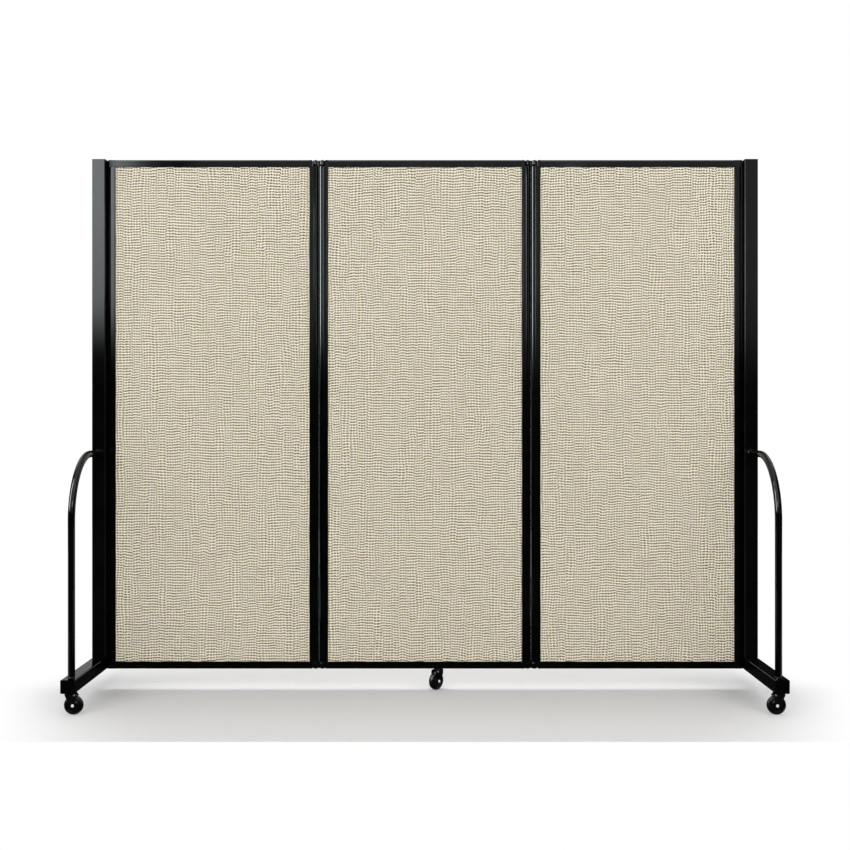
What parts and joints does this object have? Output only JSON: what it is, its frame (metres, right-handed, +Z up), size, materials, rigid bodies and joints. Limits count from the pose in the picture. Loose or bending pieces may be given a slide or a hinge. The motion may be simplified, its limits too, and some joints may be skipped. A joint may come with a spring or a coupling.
{
  "type": "folding privacy screen on castors",
  "caption": "Folding floor-standing privacy screen: fabric-covered panels in black frames, double-pivot hinges, end posts on long feet with bent tube handles, and swivel castors with brakes.",
  "frame": {"origin": "on the floor, under the middle of the open screen", "axes": "+X to the right along the open screen as the picture shows it, +Y to its back, +Z up"},
  "size_m": [1.905, 0.65, 1.5263],
  "materials": {
    "frame": "gloss",
    "corner": "satin",
    "fabric": "matte",
    "post_steel": "gloss",
    "castor": "satin",
    "wheel": "matte",
    "axle": "polished"
  },
  "bodies": {
    "middle_panel": {"middle_panel_stile_left": "frame", "middle_panel_corner_top_left": "corner", "middle_panel_corner_bottom_left": "corner", "middle_panel_stile_right": "frame", "middle_panel_corner_top_right": "corner", "middle_panel_corner_bottom_right": "corner", "middle_panel_rail_top": "frame", "middle_panel_rail_bottom": "frame", "middle_panel_fabric": "fabric", "middle_castor_socket": "post_steel"},
    "left_hinge": {"left_hinge_link_top": "corner", "left_hinge_link_bottom": "corner"},
    "left_panel": {"left_panel_stile_left": "frame", "left_panel_corner_top_left": "corner", "left_panel_corner_bottom_left": "corner", "left_panel_stile_right": "frame", "left_panel_corner_top_right": "corner", "left_panel_corner_bottom_right": "corner", "left_panel_rail_top": "frame", "left_panel_rail_bottom": "frame", "left_panel_fabric": "fabric", "left_post": "post_steel", "left_foot": "post_steel", "left_handle_front": "post_steel", "left_handle_rear": "post_steel"},
    "right_hinge": {"right_hinge_link_top": "corner", "right_hinge_link_bottom": "corner"},
    "right_panel": {"right_panel_stile_left": "frame", "right_panel_corner_top_left": "corner", "right_panel_corner_bottom_left": "corner", "right_panel_stile_right": "frame", "right_panel_corner_top_right": "corner", "right_panel_corner_bottom_right": "corner", "right_panel_rail_top": "frame", "right_panel_rail_bottom": "frame", "right_panel_fabric": "fabric", "right_post": "post_steel", "right_foot": "post_steel", "right_handle_front": "post_steel", "right_handle_rear": "post_steel"},
    "front_left_castor": {"front_left_castor_fork": "castor", "front_left_castor_axle": "axle"},
    "front_left_castor_wheel": {"front_left_castor_wheel": "wheel"},
    "front_left_castor_brake": {"front_left_castor_brake": "castor"},
    "rear_left_castor": {"rear_left_castor_fork": "castor", "rear_left_castor_axle": "axle"},
    "rear_left_castor_wheel": {"rear_left_castor_wheel": "wheel"},
    "rear_left_castor_brake": {"rear_left_castor_brake": "castor"},
    "front_right_castor": {"front_right_castor_fork": "castor", "front_right_castor_axle": "axle"},
    "front_right_castor_wheel": {"front_right_castor_wheel": "wheel"},
    "front_right_castor_brake": {"front_right_castor_brake": "castor"},
    "rear_right_castor": {"rear_right_castor_fork": "castor", "rear_right_castor_axle": "axle"},
    "rear_right_castor_wheel": {"rear_right_castor_wheel": "wheel"},
    "rear_right_castor_brake": {"rear_right_castor_brake": "castor"},
    "middle_castor": {"middle_castor_fork": "castor", "middle_castor_axle": "axle"},
    "middle_castor_wheel": {"middle_castor_wheel": "wheel"},
    "middle_castor_brake": {"middle_castor_brake": "castor"}
  },
  "joints": [
    {"name": "left_hinge_inner", "type": "hinge", "parent": "middle_panel", "child": "left_hinge", "pos_m": [-0.296, 0, 0.792], "axis": [0, 0, 1], "range_deg": [-75, 75]},
    {"name": "left_hinge_outer", "type": "hinge", "parent": "left_hinge", "child": "left_panel", "pos_m": [-0.3156, 0, 0.792], "axis": [0, 0, 1], "range_deg": [-75, 75]},
    {"name": "right_hinge_inner", "type": "hinge", "parent": "middle_panel", "child": "right_hinge", "pos_m": [0.296, 0, 0.792], "axis": [0, 0, 1], "range_deg": [-75, 75]},
    {"name": "right_hinge_outer", "type": "hinge", "parent": "right_hinge", "child": "right_panel", "pos_m": [0.3156, 0, 0.792], "axis": [0, 0, 1], "range_deg": [-75, 75]},
    {"name": "front_left_castor_swivel", "type": "hinge", "parent": "left_panel", "child": "front_left_castor", "pos_m": [-0.9335, -0.297, 0.06], "axis": [0, 0, 1], "continuous": true},
    {"name": "front_left_castor_roll", "type": "hinge", "parent": "front_left_castor", "child": "front_left_castor_wheel", "pos_m": [-0.9252, -0.297, 0.025], "axis": [0, 1, 0], "continuous": true},
    {"name": "front_left_castor_brake_lift", "type": "hinge", "parent": "front_left_castor", "child": "front_left_castor_brake", "pos_m": [-0.9214, -0.297, 0.0526], "axis": [0, -1, 0], "range_deg": [0, 30]},
    {"name": "rear_left_castor_swivel", "type": "hinge", "parent": "left_panel", "child": "rear_left_castor", "pos_m": [-0.9335, 0.297, 0.06], "axis": [0, 0, 1], "continuous": true},
    {"name": "rear_left_castor_roll", "type": "hinge", "parent": "rear_left_castor", "child": "rear_left_castor_wheel", "pos_m": [-0.9252, 0.297, 0.025], "axis": [0, 1, 0], "continuous": true},
    {"name": "rear_left_castor_brake_lift", "type": "hinge", "parent": "rear_left_castor", "child": "rear_left_castor_brake", "pos_m": [-0.9214, 0.297, 0.0526], "axis": [0, -1, 0], "range_deg": [0, 30]},
    {"name": "front_right_castor_swivel", "type": "hinge", "parent": "right_panel", "child": "front_right_castor", "pos_m": [0.9335, -0.297, 0.06], "axis": [0, 0, 1], "continuous": true},
    {"name": "front_right_castor_roll", "type": "hinge", "parent": "front_right_castor", "child": "front_right_castor_wheel", "pos_m": [0.9252, -0.297, 0.025], "axis": [0, -1, 0], "continuous": true},
    {"name": "front_right_castor_brake_lift", "type": "hinge", "parent": "front_right_castor", "child": "front_right_castor_brake", "pos_m": [0.9214, -0.297, 0.0526], "axis": [0, 1, 0], "range_deg": [0, 30]},
    {"name": "rear_right_castor_swivel", "type": "hinge", "parent": "right_panel", "child": "rear_right_castor", "pos_m": [0.9335, 0.297, 0.06], "axis": [0, 0, 1], "continuous": true},
    {"name": "rear_right_castor_roll", "type": "hinge", "parent": "rear_right_castor", "child": "rear_right_castor_wheel", "pos_m": [0.9252, 0.297, 0.025], "axis": [0, -1, 0], "continuous": true},
    {"name": "rear_right_castor_brake_lift", "type": "hinge", "parent": "rear_right_castor", "child": "rear_right_castor_brake", "pos_m": [0.9214, 0.297, 0.0526], "axis": [0, 1, 0], "range_deg": [0, 30]},
    {"name": "middle_castor_swivel", "type": "hinge", "parent": "middle_panel", "child": "middle_castor", "pos_m": [0.0375, 0, 0.06], "axis": [0, 0, 1], "continuous": true},
    {"name": "middle_castor_roll", "type": "hinge", "parent": "middle_castor", "child": "middle_castor_wheel", "pos_m": [0.03195, -0.00617, 0.025], "axis": [0.7431, -0.6691, 0], "continuous": true},
    {"name": "middle_castor_brake_lift", "type": "hinge", "parent": "middle_castor", "child": "middle_castor_brake", "pos_m": [0.0294, -0.00899, 0.0526], "axis": [-0.7431, 0.6691, 0], "range_deg": [0, 30]}
  ]
}
